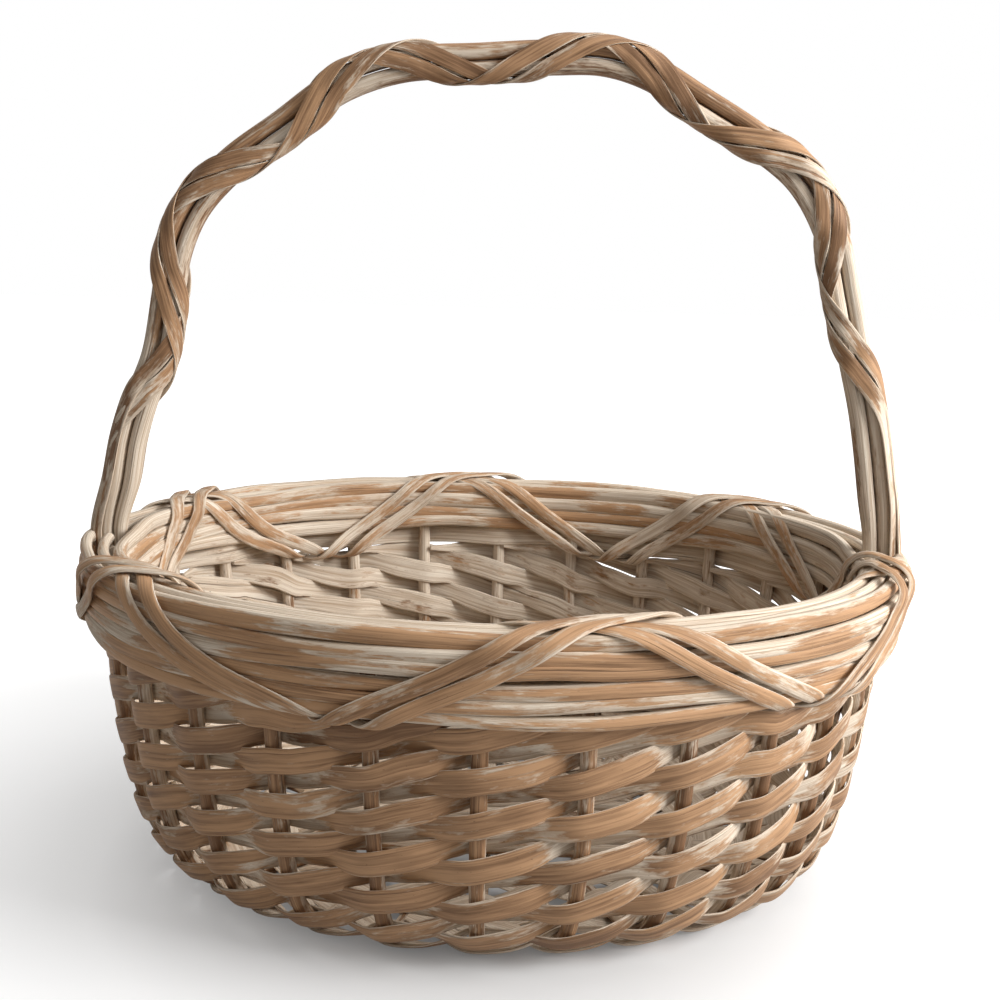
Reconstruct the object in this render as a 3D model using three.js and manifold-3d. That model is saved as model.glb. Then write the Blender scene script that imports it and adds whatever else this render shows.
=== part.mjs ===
import * as THREE from 'three';
import { mergeVertices } from 'three/addons/utils/BufferGeometryUtils.js';
import Module from 'manifold-3d';

// Gathering basket: an oval body of flat split-willow weavers that climb from stake to stake, a rim of
// rods bound by crossing skeins, and a tall fixed bow handle wound with skeins.
// Millimetres, +Z up. The origin is on the floor under the middle of the base, X runs from one handle
// foot to the other, and the front is -Y.

// Body
const RIM_LENGTH = 400; // over the outer rim rods, foot to foot of the handle
const RIM_WIDTH = 300; // over the outer rim rods, front to back
const RIM_TOP = 165; // top of the rim rods
const FLARE = 45; // how far the wall leans out from the floor to the rim
const FOOT_ROUNDING = 42; // how far the wall runs along the floor as it turns up
const BELLY_HEIGHT = 112; // the higher, the rounder the wall's lower half
const BELLY_LEAN = 6.5; // how far the wall still leans out above that height

// Stakes and weavers
const STAKE_COUNT = 26; // even, because each weaver is split into two strips
const CROSS_ROD_COUNT = 7; // rods that run front to back under the floor, the rest run lengthwise
const STAKE_DIAMETER = 7;
const WEAVER_WIDTH = 7.7;
const WEAVER_THICKNESS = 1.8;
const WEAVER_GAP = 1.2; // the least between one row and the next
const FLOOR_WEAVE = 44; // width of the woven ring of the floor, inside the turn-up
const FLOOR_START = 0.04; // of the floor's weavers, in rows from the wall's foot
const OVER_FLAT = 9; // length of a weaver that lies flat over a stake
const FLOOR_FLAT = 9; // and under or over a rod of the floor
const FOOT_ROWS = 2; // rows in which a strip bends between the stakes too, to follow the wall's foot
const INSIDE_FLAT = 5; // length of a weaver that lies flat behind a stake at the wall's foot
const INSIDE_SLACK = 0.3; // stand-off of a weaver that bends sharply behind a stake
const STRIP_START = 0.56; // start of a strip before its first stake, in stake steps
const BUTT_WIDTH = 3; // width of the joined butt of the two strips of a side weaver
const BUTT_THICKNESS = 0.9; // thinner than the strips, where the rod was split down to
const BUTT_INSET = 0.3; // how far the butt stops short of the middle of each strip, in rows
const FLOOR_SLACK = 0.4; // how much lower the floor's weavers hang, so that the basket stands on them

// Rim
const OUTER_ROD_COUNT = 6;
const OUTER_ROD_DIAMETER = 6;
const INNER_ROD_COUNT = 4;
const INNER_ROD_DIAMETER = 6.4;
const FILLER_DIAMETER = 5.4;
const LASHING_WIDTH = 6.2;
const LASHING_THICKNESS = 1.6;
const LASHING_TROUGHS = [3.5, 7.5, 11.5, 15.5, 19.5, 24.5]; // where skeins pass the wall, in stake steps
const LASHING_LAG = 17.6; // between the two skeins of a pair, along the rim
const LASHING_CORNER = 3; // how much a skein rounds the corners of the rim band
const LASHING_SLACK_OUT = 0.6; // stand-off of a skein on the outside of the rim band
const LASHING_SLACK_IN = 2.4; // on the inside, where the rods are straighter than the oval
const LASHING_SLACK_TOP = 0.9; // over the rods
const LASHING_SLACK_LOW = 1.3; // and under them
const LASHING_LIFT_END = 0.4; // share of a half wave where a skein that crosses over is down on the rods
const LASHING_LIFT_FADE = 0.25; // share of a half wave over which it comes down
const SLOT_SLACK = 3.4; // spare height of the slot in the wall that the skeins pass through
const RIM_SLACK = 0.9; // between the outer rods and the weaver behind them

// Handle
const HANDLE_TOP = 405; // over the wraps
const BOW_ROD_DIAMETER = 6.4;
const BOW_SHAPE = [ // share of the half span, share of the rise, foot to foot as the rods were bent by hand
  [-1, 0], [-0.968, 0.11], [-0.947, 0.2], [-0.91, 0.295], [-0.868, 0.38], [-0.838, 0.5], [-0.815, 0.6],
  [-0.765, 0.69], [-0.67, 0.775], [-0.54, 0.853], [-0.4, 0.935], [-0.25, 0.978], [-0.06, 0.99], [0.12, 1],
  [0.24, 1], [0.35, 0.975], [0.47, 0.92], [0.62, 0.848], [0.735, 0.775], [0.815, 0.67], [0.862, 0.54],
  [0.9, 0.42], [0.94, 0.3], [0.975, 0.15], [1, 0],
];
const WRAP_WIDTH = 7;
const WRAP_THICKNESS = 1.8;
const WRAP_TURNS = 5.6; // of each skein, from foot to foot
const WRAP_LAG = 27; // between the two skeins of a pair, along the bow
const WRAP_SLACK = 1.6; // stand-off of the inner pair from the bow rods
const WRAP_LIFT = 2.6; // of the outer pair over the inner pair
const FALLING_WRAP_START = 0.1; // share of the bow where the pair that comes in first crosses the front
const RISING_WRAP_START = 0.168; // and where the pair that goes out first does

// Fits
const CLEARANCE = 0.3; // between pieces that touch
const END_GAP = 1; // between the two ends of a round
const WEAVER_JOIN_STEP = 5; // stakes between the joins of neighbouring rows, counted in pairs
const ROD_JOIN_STEP = 5; // places between the joins of neighbouring rim rods
const OUTER_JOIN = 2; // place of the first outer rod's join
const INNER_JOIN = 4; // and of the first inner rod's

const willow = { color: 0xb08a66, roughness: 0.75, metalness: 0 };
const paleWillow = { color: 0xcdb79d, roughness: 0.8, metalness: 0 };

const stakeRadius = STAKE_DIAMETER / 2;
const outerRadius = OUTER_ROD_DIAMETER / 2;
const innerRadius = INNER_ROD_DIAMETER / 2;
const bowRadius = BOW_ROD_DIAMETER / 2;
const stakeStep = (2 * Math.PI) / STAKE_COUNT;
const up = new THREE.Vector3(0, 0, 1);

// Heights, from the rim down
const bandBottom = RIM_TOP - OUTER_ROD_COUNT * (OUTER_ROD_DIAMETER + CLEARANCE);
const innerBottom = RIM_TOP - INNER_ROD_COUNT * (INNER_ROD_DIAMETER + CLEARANCE);
const slotBottom = bandBottom - 2 * LASHING_THICKNESS - SLOT_SLACK;
const stakeTop = RIM_TOP - FILLER_DIAMETER - CLEARANCE;
const floorLevel = WEAVER_THICKNESS + CLEARANCE + FLOOR_SLACK + stakeRadius; // middle of the floor's rods

// Distances from the middle of the stakes, square to the wall
const weaveOffset = stakeRadius + CLEARANCE + WEAVER_THICKNESS / 2;
const topRodOffset = stakeRadius + CLEARANCE + outerRadius;
const outerRodOffset = weaveOffset + WEAVER_THICKNESS / 2 + RIM_SLACK + outerRadius;
const innerRodOffset = stakeRadius + CLEARANCE + innerRadius;
const bowRodOffset = bowRadius + CLEARANCE / 2; // of each bow rod from the bow's middle line
const bowHalf = bowRodOffset + bowRadius;

// Half axes of the ring of stakes where they turn up from the floor
const floorLength = RIM_LENGTH / 2 - topRodOffset - outerRadius - FLARE;
const floorWidth = RIM_WIDTH / 2 - topRodOffset - outerRadius - FLARE;

// The wall's profile: x is the distance out from the floor's edge, y the height
const profile = new THREE.CubicBezierCurve(
  new THREE.Vector2(0, floorLevel),
  new THREE.Vector2(FOOT_ROUNDING, floorLevel),
  new THREE.Vector2(FLARE - BELLY_LEAN, BELLY_HEIGHT),
  new THREE.Vector2(FLARE, RIM_TOP),
).getPoints(8);
const profileLengths = profile.map(() => 0);
for (let i = 1; i < profile.length; i += 1) {
  profileLengths[i] = profileLengths[i - 1] + profile[i].distanceTo(profile[i - 1]);
}

// A point of the profile at a length along it, and on along the floor for a length below 0
function profileAt(length) {
  if (length <= 0) {
    return new THREE.Vector2(length, floorLevel);
  }
  let i = 1;
  while (i < profile.length - 1 && profileLengths[i] < length) {
    i += 1;
  }
  const share = (length - profileLengths[i - 1]) / (profileLengths[i] - profileLengths[i - 1]);
  return profile[i - 1].clone().lerp(profile[i], share);
}

function lengthAtHeight(height) {
  let i = 1;
  while (i < profile.length - 1 && profile[i].y < height) {
    i += 1;
  }
  const share = (height - profile[i - 1].y) / (profile[i].y - profile[i - 1].y);
  return profileLengths[i - 1] + share * (profileLengths[i] - profileLengths[i - 1]);
}

// The oval at a distance out from the floor's edge. The angle runs from the front to the right.
function ovalPoint(angle, out, height) {
  return new THREE.Vector3(
    (floorLength + out) * Math.sin(angle),
    -(floorWidth + out) * Math.cos(angle),
    height,
  );
}

function ovalNormal(angle, out) {
  const normal = new THREE.Vector3(
    Math.sin(angle) / (floorLength + out),
    -Math.cos(angle) / (floorWidth + out),
    0,
  );
  return normal.normalize();
}

function ovalSpeed(angle, out) {
  return Math.hypot((floorLength + out) * Math.cos(angle), (floorWidth + out) * Math.sin(angle));
}

// A point at a height of the wall, a distance outwards from the middle of the stakes
function rimPoint(angle, height, offset) {
  const out = profileAt(lengthAtHeight(height)).x;
  return ovalPoint(angle, out, height).addScaledVector(ovalNormal(angle, out), offset);
}

// A path of straight stretches. Its section keeps its x axis towards the given normals, and its y axis
// square to the path or, where they are given, along the given widths.
class GuidedPath extends THREE.Curve {
  constructor(points, normals, widths) {
    super();
    this.points = points;
    this.guides = normals;
    this.widths = widths;
  }

  getPoint(share) {
    const place = share * (this.points.length - 1);
    const i = Math.min(Math.floor(place), this.points.length - 2);
    return this.points[i].clone().lerp(this.points[i + 1], place - i);
  }

  getSpacedPoints() {
    return this.points;
  }

  computeFrenetFrames() {
    const frames = { tangents: [], normals: [], binormals: [] };
    this.points.forEach((_, i) => {
      const tangent = pathDirection(this.points, i);
      const binormal = tangent.clone().cross(this.guides[i]).normalize();
      const normal = binormal.clone().cross(tangent).normalize();
      frames.tangents.push(tangent);
      frames.normals.push(this.widths ? this.guides[i] : normal);
      frames.binormals.push(this.widths ? this.widths[i] : binormal);
    });
    return frames;
  }
}

// The direction of a path at one of its points, halfway between the stretches that meet there
function pathDirection(points, i) {
  const direction = new THREE.Vector3();
  if (i > 0) {
    direction.add(points[i].clone().sub(points[i - 1]).normalize());
  }
  if (i < points.length - 1) {
    direction.add(points[i + 1].clone().sub(points[i]).normalize());
  }
  return direction.normalize();
}

const basket = new THREE.Group();

function sweep(section, path) {
  return new THREE.ExtrudeGeometry(section, {
    steps: path.points.length - 1,
    extrudePath: path,
    bevelEnabled: false,
  });
}

function addPiece(name, geometry, finish) {
  const mesh = new THREE.Mesh(geometry, new THREE.MeshStandardMaterial(finish));
  mesh.name = name;
  basket.add(mesh);
}

function addSweep(name, section, path, finish) {
  addPiece(name, sweep(section, path), finish);
}

// A skein wound on a core: its edges lie along the core, so that it bends round it without twisting
function addSkein(name, width, thickness, points, normals, along, finish) {
  const widths = points.map((_, i) => {
    const direction = pathDirection(points, i);
    const slant = direction.clone().cross(along[i]).length();
    const facing = normals[i].clone().cross(along[i]).dot(direction) > 0 ? 1 : -1;
    return along[i].clone().multiplyScalar((facing * width) / slant);
  });
  addSweep(name, splitSection(1, thickness), new GuidedPath(points, normals, widths), finish);
}

// The least gap of a winding to itself, over points more than a third of a turn apart
function printLeastGap(name, points, stepsPerTurn, thickness) {
  let least = Infinity;
  points.forEach((point, i) => {
    for (let j = i + Math.ceil(stepsPerTurn / 3); j < points.length; j += 1) {
      least = Math.min(least, point.distanceTo(points[j]) - thickness);
    }
  });
  console.log(`${name}: least gap to itself ${least.toFixed(1)} mm`);
}

// Six sides, with a flat side towards the guiding normal
function rodSection(diameter) {
  const shape = new THREE.Shape();
  const corners = [0, 1, 2, 3, 4, 5].map((i) => ((i + 0.5) * Math.PI) / 3);
  corners.forEach((angle, i) => {
    const x = (Math.cos(angle) * diameter) / 2;
    const y = (Math.sin(angle) * diameter) / 2;
    if (i === 0) {
      shape.moveTo(x, y);
    } else {
      shape.lineTo(x, y);
    }
  });
  shape.closePath();
  return shape;
}

// A flat split: thin towards the guiding normal, wide across it
function splitSection(width, thickness) {
  const shape = new THREE.Shape();
  shape.moveTo(-thickness / 2, -width / 2);
  shape.lineTo(thickness / 2, -width / 2);
  shape.lineTo(thickness / 2, width / 2);
  shape.lineTo(-thickness / 2, width / 2);
  shape.closePath();
  return shape;
}

// One side of a stake rod: from the stake's top down the wall and along the floor
function stakeSide(angle) {
  const topLength = lengthAtHeight(stakeTop);
  const below = profileLengths.filter((length) => length < topLength - 1);
  const lengths = [-FLOOR_WEAVE, ...below, topLength];
  const points = [];
  const normals = [];
  lengths.reverse().forEach((length) => {
    const here = profileAt(length);
    const slope = profileAt(length + 1).sub(profileAt(length - 1)).normalize();
    points.push(ovalPoint(angle, here.x, here.y));
    normals.push(ovalNormal(angle, here.x).multiplyScalar(slope.y).addScaledVector(up, -slope.x));
  });
  return { points, normals };
}

function addStakeRod(name, startAngle, endAngle, middle) {
  const start = stakeSide(startAngle);
  const end = stakeSide(endAngle);
  const down = middle.map(() => up.clone().negate());
  addSweep(
    name,
    rodSection(STAKE_DIAMETER),
    new GuidedPath(
      [...start.points, ...middle, ...end.points.reverse()],
      [...start.normals, ...down, ...end.normals.reverse()],
    ),
    willow,
  );
}

// Cross rods join a front stake to the back stake straight behind it
const crossReach = (CROSS_ROD_COUNT - 1) / 2;
for (let i = -crossReach; i <= crossReach; i += 1) {
  addStakeRod(`cross_stake_rod_${i + crossReach + 1}`, i * stakeStep, Math.PI - i * stakeStep, []);
}

// Long rods join a right stake to the left stake opposite, and ride over the cross rods on the floor
const longRodCount = STAKE_COUNT / 2 - CROSS_ROD_COUNT;
const overCross = floorLevel + STAKE_DIAMETER + CLEARANCE;
const overEnd = ovalPoint(crossReach * stakeStep, -FLOOR_WEAVE, 0).x + STAKE_DIAMETER;
for (let i = 0; i < longRodCount; i += 1) {
  const angle = (crossReach + 1 + i) * stakeStep;
  const y = ovalPoint(angle, -FLOOR_WEAVE, 0).y;
  const middle = [new THREE.Vector3(overEnd, y, overCross), new THREE.Vector3(-overEnd, y, overCross)];
  addStakeRod(`long_stake_rod_${i + 1}`, angle, 2 * Math.PI - angle, middle);
}

// The wall at a place along its profile, with the flat across a weaver's width there
function wallAt(length) {
  const here = profileAt(length);
  const low = profileAt(length - WEAVER_WIDTH / 2);
  const high = profileAt(length + WEAVER_WIDTH / 2);
  return { here, slope: high.clone().sub(low).normalize(), hollow: here.distanceTo(low.lerp(high, 0.5)) };
}

function wallNormal(angle, wall) {
  return ovalNormal(angle, wall.here.x).multiplyScalar(wall.slope.y).addScaledVector(up, -wall.slope.x);
}

function wallPoint(angle, wall, offset) {
  return ovalPoint(angle, wall.here.x, wall.here.y).addScaledVector(wallNormal(angle, wall), offset);
}

// One round of a weaver, outside every second stake and inside the others
function addWeaver(name, length, row) {
  const wall = wallAt(length);
  const onFloor = length < 0;
  const outside = weaveOffset + (onFloor ? FLOOR_SLACK : 0);
  const inside = -weaveOffset - wall.hollow;
  const points = [];
  const normals = [];
  const place = (angle, offset) => {
    points.push(wallPoint(angle, wall, offset));
    normals.push(wallNormal(angle, wall));
  };
  const first = 2 * ((row * WEAVER_JOIN_STEP) % (STAKE_COUNT / 2)) + (row % 2);
  for (let i = 0; i <= STAKE_COUNT; i += 1) {
    const angle = (first + i) * stakeStep;
    const speed = ovalSpeed(angle, wall.here.x);
    const half = (onFloor ? FLOOR_FLAT : OVER_FLAT) / 2 / speed;
    const endGap = END_GAP / 2 / speed;
    const offset = i % 2 === 0 ? inside : outside;
    if (i === STAKE_COUNT) {
      place(angle - half, offset);
      place(angle - endGap, offset);
    } else if (i === 0) {
      place(angle + endGap, offset);
      place(angle + half, offset);
    } else if (i % 2 === 0 && !onFloor) {
      place(angle, offset);
    } else {
      place(angle - half, offset);
      place(angle + half, offset);
    }
  }
  addSweep(name, splitSection(WEAVER_WIDTH, WEAVER_THICKNESS), new GuidedPath(points, normals), willow);
}

// Rows fill the wall from the floor up to the slot where the lashings pass, and run in along the floor
const slotLength = lengthAtHeight(slotBottom);
const sideRows = Math.floor(slotLength / (WEAVER_WIDTH + WEAVER_GAP));
const rowPitch = slotLength / (sideRows + OVER_FLAT / 2 / ovalSpeed(Math.PI / 2, FLARE) / stakeStep);

// A strip of a side weaver. It climbs one row from each stake to the next and is outside every second
// one, so that every stake has strips outside it at the same heights.
function sideStrip(first) {
  const points = [];
  const normals = [];
  const place = (steps, shift, outside) => {
    const level = profileAt((steps + 0.5) * rowPitch).x;
    const onward = shift / ovalSpeed((first + steps) * stakeStep, level) / stakeStep;
    const angle = (first + steps + onward) * stakeStep;
    const wall = wallAt((steps + onward + 0.5) * rowPitch);
    const reach = outside < 0 ? weaveOffset + INSIDE_SLACK + wall.hollow : weaveOffset;
    points.push(wallPoint(angle, wall, outside * reach));
    normals.push(wallNormal(angle, wall));
  };
  place(-STRIP_START, 0, 0);
  for (let i = 0; i < sideRows; i += 1) {
    if (i % 2 === 0) {
      place(i, -OVER_FLAT / 2, 1);
      place(i, OVER_FLAT / 2, 1);
    } else if (i === 1) {
      place(i, -INSIDE_FLAT / 2, -1);
      place(i, INSIDE_FLAT / 2, -1);
    } else {
      place(i, 0, -1);
    }
    if (i < FOOT_ROWS) {
      place(i + 0.5, 0, 0);
    }
  }
  return new GuidedPath(points, normals);
}

const manifold = await Module();
manifold.setup();

function toSolid(geometry) {
  geometry.deleteAttribute('normal');
  geometry.deleteAttribute('uv');
  const welded = mergeVertices(geometry);
  return new manifold.Manifold(new manifold.Mesh({
    numProp: 3,
    vertProperties: welded.attributes.position.array,
    triVerts: Uint32Array.from(welded.index.array),
  }));
}

function fromSolid(solid) {
  const mesh = solid.getMesh();
  const geometry = new THREE.BufferGeometry();
  geometry.setAttribute('position', new THREE.BufferAttribute(mesh.vertProperties, 3));
  geometry.setIndex(new THREE.BufferAttribute(mesh.triVerts, 1));
  geometry.computeVertexNormals();
  return geometry;
}

// A side weaver is a rod split into two strips that stay joined at its butt, at the wall's foot
function addSideWeaver(name, first) {
  const section = splitSection(WEAVER_WIDTH, WEAVER_THICKNESS);
  const angle = (first + 0.5) * stakeStep;
  const ends = [BUTT_INSET, 1 - BUTT_INSET].map((share) => wallAt(share * rowPitch));
  const butt = new GuidedPath(
    ends.map((wall) => wallPoint(angle, wall, 0)),
    ends.map((wall) => wallNormal(angle, wall)),
  );
  const solids = [
    sweep(section, sideStrip(first)),
    sweep(section, sideStrip(first + 1)),
    sweep(splitSection(BUTT_WIDTH, BUTT_THICKNESS), butt),
  ];
  addPiece(name, fromSolid(manifold.Manifold.union(solids.map(toSolid))), willow);
}

for (let i = 0; i < STAKE_COUNT / 2; i += 1) {
  addSideWeaver(`side_weaver_${i + 1}`, 2 * i);
}
const floorRows = Math.floor(FLOOR_WEAVE / rowPitch);
for (let row = 1; row <= floorRows; row += 1) {
  addWeaver(`floor_weaver_${row}`, (FLOOR_START - row) * rowPitch, row);
}
// A last round lies behind the outer rods, above the slot
if (innerBottom - bandBottom > rowPitch) {
  addWeaver('rim_weaver', lengthAtHeight((innerBottom + bandBottom) / 2), sideRows);
}

// Rim rods bend at the stakes and bulge at the handle's feet
const footAngles = [Math.PI / 2, (3 * Math.PI) / 2];
const rimAngles = [...Array(STAKE_COUNT).keys()].map((i) => i * stakeStep);
rimAngles.push(...footAngles);
rimAngles.sort((a, b) => a - b);

// The angle taken to between half a turn back and half a turn on
function halfTurns(angle) {
  return THREE.MathUtils.euclideanModulo(angle + Math.PI, 2 * Math.PI) - Math.PI;
}

// 1 at a handle foot, falling to 0 at the stakes beside it
function footBulge(angle) {
  const away = footAngles.map((foot) => Math.abs(halfTurns(angle - foot)));
  return Math.max(0, 1 - Math.min(...away) / (stakeStep / 2));
}

function addRimRod(name, diameter, height, offset, footOffset, first) {
  const angles = rimAngles.map((_, i) => {
    const turn = Math.floor((first + i) / rimAngles.length);
    return rimAngles[(first + i) % rimAngles.length] + turn * 2 * Math.PI;
  });
  const endGap = END_GAP / 2 / ovalSpeed(angles[0], FLARE);
  angles.push(angles[0] + 2 * Math.PI - endGap);
  angles[0] += endGap;
  const points = angles.map((angle) => {
    const bulge = footBulge(angle) * (footOffset - offset);
    return rimPoint(angle, height, offset + bulge);
  });
  const normals = angles.map((angle) => ovalNormal(angle, FLARE));
  addSweep(name, rodSection(diameter), new GuidedPath(points, normals), willow);
}

for (let i = 0; i < OUTER_ROD_COUNT; i += 1) {
  const height = RIM_TOP - outerRadius - i * (OUTER_ROD_DIAMETER + CLEARANCE);
  const offset = i === 0 ? topRodOffset : outerRodOffset;
  const footOffset = bowHalf + CLEARANCE + outerRadius;
  const join = OUTER_JOIN + i * ROD_JOIN_STEP;
  addRimRod(`rim_outer_rod_${i + 1}`, OUTER_ROD_DIAMETER, height, offset, footOffset, join);
}
for (let i = 0; i < INNER_ROD_COUNT; i += 1) {
  const height = RIM_TOP - innerRadius - i * (INNER_ROD_DIAMETER + CLEARANCE);
  const footOffset = -(bowHalf + CLEARANCE + innerRadius);
  const join = INNER_JOIN + i * ROD_JOIN_STEP;
  addRimRod(`rim_inner_rod_${i + 1}`, INNER_ROD_DIAMETER, height, -innerRodOffset, footOffset, join);
}

// Fillers lie on the stake tops from one handle foot to the other
function addFiller(name, startAngle) {
  const endGap = (bowRadius + CLEARANCE) / ovalSpeed(footAngles[0], FLARE);
  const reach = Math.PI / 2 - endGap;
  const inner = rimAngles.map(halfTurns).filter((angle) => Math.abs(angle) < reach);
  inner.sort((a, b) => a - b);
  const angles = [-reach, ...inner, reach].map((angle) => angle + startAngle);
  const points = angles.map((angle) => rimPoint(angle, RIM_TOP - FILLER_DIAMETER / 2, 0));
  const normals = angles.map((angle) => ovalNormal(angle, FLARE));
  addSweep(name, rodSection(FILLER_DIAMETER), new GuidedPath(points, normals), willow);
}
addFiller('rim_filler_front', 0);
addFiller('rim_filler_back', Math.PI);

// One half wave of a skein on the rim band, from a crest to a trough. Share is how far along the half
// wave a place is and rise how high on the band. Across is 0 on the band's middle and 1 on its face,
// corner is 1 where the band's corner is rounded off, and lean tips the skein's face up, in degrees.
const halfWave = [
  { share: 0, across: 0, corner: 1, rise: 1, lean: 90 },
  { share: 0.06, across: 1, corner: 1, rise: 1, lean: 63 },
  { share: 0.13, across: 1, corner: 0, rise: 1, lean: 31 },
  { share: 0.38, across: 1, corner: 0, rise: 0.67, lean: 0 },
  { share: 0.62, across: 1, corner: 0, rise: 0.33, lean: 0 },
  { share: 0.87, across: 1, corner: 0, rise: 0, lean: -31 },
  { share: 0.94, across: 1, corner: 1, rise: 0, lean: -63 },
  { share: 1, across: 0, corner: 1, rise: 0, lean: -90 },
];

// The middle of a skein's thickness, from the middle of the stakes, on the band's outside or inside
function lashingReach(side, angle) {
  if (side > 0) {
    const growth = Math.max(0, bowHalf + CLEARANCE + outerRadius - outerRodOffset);
    const face = outerRodOffset + outerRadius + growth * footBulge(angle);
    return face + LASHING_SLACK_OUT + LASHING_THICKNESS / 2;
  }
  const growth = bowHalf + CLEARANCE + innerRadius - innerRodOffset;
  const face = innerRodOffset + innerRadius + growth * footBulge(angle);
  return face + LASHING_SLACK_IN + LASHING_THICKNESS / 2;
}

function addLashing(name, outsideFirst, lag, lift) {
  const points = [];
  const normals = [];
  const along = [];
  const place = (station, side, onTime) => {
    const angle = onTime + lag / ovalSpeed(onTime, FLARE);
    const edge = Math.min(station.share, 1 - station.share);
    const raised = lift * THREE.MathUtils.clamp((LASHING_LIFT_END - edge) / LASHING_LIFT_FADE, 0, 1);
    const reach = lashingReach(side, angle) + raised - station.corner * LASHING_CORNER;
    const inset = (1 - station.corner) * LASHING_CORNER;
    const low = bandBottom - LASHING_SLACK_LOW - LASHING_THICKNESS / 2 - raised + inset;
    const high = RIM_TOP + LASHING_SLACK_TOP + LASHING_THICKNESS / 2 + raised - inset;
    points.push(rimPoint(angle, low + (high - low) * station.rise, side * station.across * reach));
    const normal = ovalNormal(angle, FLARE);
    along.push(up.clone().cross(normal));
    const lean = THREE.MathUtils.degToRad(station.lean);
    normals.push(normal.multiplyScalar(side * Math.cos(lean)).addScaledVector(up, Math.sin(lean)));
  };
  LASHING_TROUGHS.forEach((trough, i) => {
    const turn = i === LASHING_TROUGHS.length - 1 ? STAKE_COUNT : 0;
    const next = LASHING_TROUGHS[(i + 1) % LASHING_TROUGHS.length] + turn;
    const start = trough * stakeStep;
    const crest = ((trough + next) / 2) * stakeStep;
    const end = next * stakeStep;
    const rising = outsideFirst ? 1 : -1;
    [...halfWave].reverse().slice(i === 0 ? 1 : 0, -1).forEach((station) => {
      place(station, rising, start + (crest - start) * (1 - station.share));
    });
    halfWave.slice(0, -1).forEach((station) => {
      place(station, -rising, crest + (end - crest) * station.share);
    });
  });
  addSkein(name, LASHING_WIDTH, LASHING_THICKNESS, points, normals, along, willow);
  printLeastGap(name, points, 2 * halfWave.length, LASHING_THICKNESS);
}

const lashingLift = LASHING_THICKNESS + LASHING_SLACK_LOW;
addLashing('rim_lashing_left_1', true, -LASHING_LAG / 2, lashingLift);
addLashing('rim_lashing_left_2', true, LASHING_LAG / 2, lashingLift);
addLashing('rim_lashing_right_1', false, -LASHING_LAG / 2, 0);
addLashing('rim_lashing_right_2', false, LASHING_LAG / 2, 0);

// The middle line of the handle bow, from the left foot to the right foot
const footHeight = innerBottom + CLEARANCE;
const footReach = rimPoint(Math.PI / 2, RIM_TOP, 0).x;
const bowRise = HANDLE_TOP - RIM_TOP - bowHalf - WRAP_SLACK - WRAP_THICKNESS - WRAP_LIFT;
const bowLine = new THREE.CatmullRomCurve3(
  [
    rimPoint((3 * Math.PI) / 2, footHeight, 0),
    ...BOW_SHAPE.map(([x, z]) => new THREE.Vector3(x * footReach, 0, RIM_TOP + z * bowRise)),
    rimPoint(Math.PI / 2, footHeight, 0),
  ],
  false,
  'centripetal',
);
const bowLength = bowLine.getLength();
const sideways = new THREE.Vector3(0, 1, 0);

// Inwards from the bow in its own plane
function bowNormal(share) {
  return bowLine.getTangentAt(share).cross(sideways).negate().normalize();
}

const bowSteps = 32;
function addBowRod(name, side) {
  const points = [];
  const normals = [];
  for (let i = 0; i <= bowSteps; i += 1) {
    const normal = bowNormal(i / bowSteps);
    points.push(bowLine.getPointAt(i / bowSteps).addScaledVector(normal, side * bowRodOffset));
    normals.push(normal);
  }
  addSweep(name, rodSection(BOW_ROD_DIAMETER), new GuidedPath(points, normals), paleWillow);
}
addBowRod('handle_bow_outer', -1);
addBowRod('handle_bow_inner', 1);

// A place on the rounded oval round both bow rods, at a share of the way round it from the inner side.
// The place is in from the bow's middle line and to its side, and the face there leans the same way.
function wrapPlace(turns, radius) {
  const bend = Math.PI * radius;
  const straight = 2 * bowRodOffset;
  const round = 2 * (bend + straight);
  const length = THREE.MathUtils.euclideanModulo(turns * round + bend / 2, round);
  const half = length < round / 2 ? 1 : -1;
  const rest = length % (round / 2);
  if (rest < bend) {
    const angle = rest / radius - Math.PI / 2;
    const face = { out: half * Math.cos(angle), side: half * Math.sin(angle) };
    return { out: half * bowRodOffset + radius * face.out, side: radius * face.side, face };
  }
  return { out: half * (bowRodOffset - (rest - bend)), side: half * radius, face: { out: 0, side: half } };
}

// A skein round the bow. It starts and ends just above the rim.
const wrapStepsPerTurn = 9;
function addWrap(name, hand, frontShare, lag, lift) {
  const points = [];
  const normals = [];
  const along = [];
  const rimShare = (RIM_TOP + 2 * lashingLift + WRAP_WIDTH - footHeight) / bowLength;
  const steps = Math.round(WRAP_TURNS * wrapStepsPerTurn);
  const radius = bowRadius + WRAP_SLACK + WRAP_THICKNESS / 2 + lift;
  for (let i = 0; i <= steps; i += 1) {
    const run = i / steps;
    const share = rimShare + (1 - 2 * rimShare) * run;
    const turns = WRAP_TURNS * (run - frontShare - lag / bowLength) - 0.25 * hand;
    const at = wrapPlace(hand * turns, radius);
    const out = bowNormal(share);
    const middle = bowLine.getPointAt(share);
    points.push(middle.addScaledVector(out, at.out).addScaledVector(sideways, at.side));
    normals.push(out.multiplyScalar(at.face.out).addScaledVector(sideways, at.face.side));
    along.push(bowLine.getTangentAt(share));
  }
  addSkein(name, WRAP_WIDTH, WRAP_THICKNESS, points, normals, along, paleWillow);
  printLeastGap(name, points, wrapStepsPerTurn, WRAP_THICKNESS);
}
addWrap('handle_wrap_falling_1', -1, FALLING_WRAP_START, -WRAP_LAG / 2, 0);
addWrap('handle_wrap_falling_2', -1, FALLING_WRAP_START, WRAP_LAG / 2, 0);
addWrap('handle_wrap_rising_1', 1, RISING_WRAP_START, -WRAP_LAG / 2, WRAP_LIFT);
addWrap('handle_wrap_rising_2', 1, RISING_WRAP_START, WRAP_LAG / 2, WRAP_LIFT);

export default basket;
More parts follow.
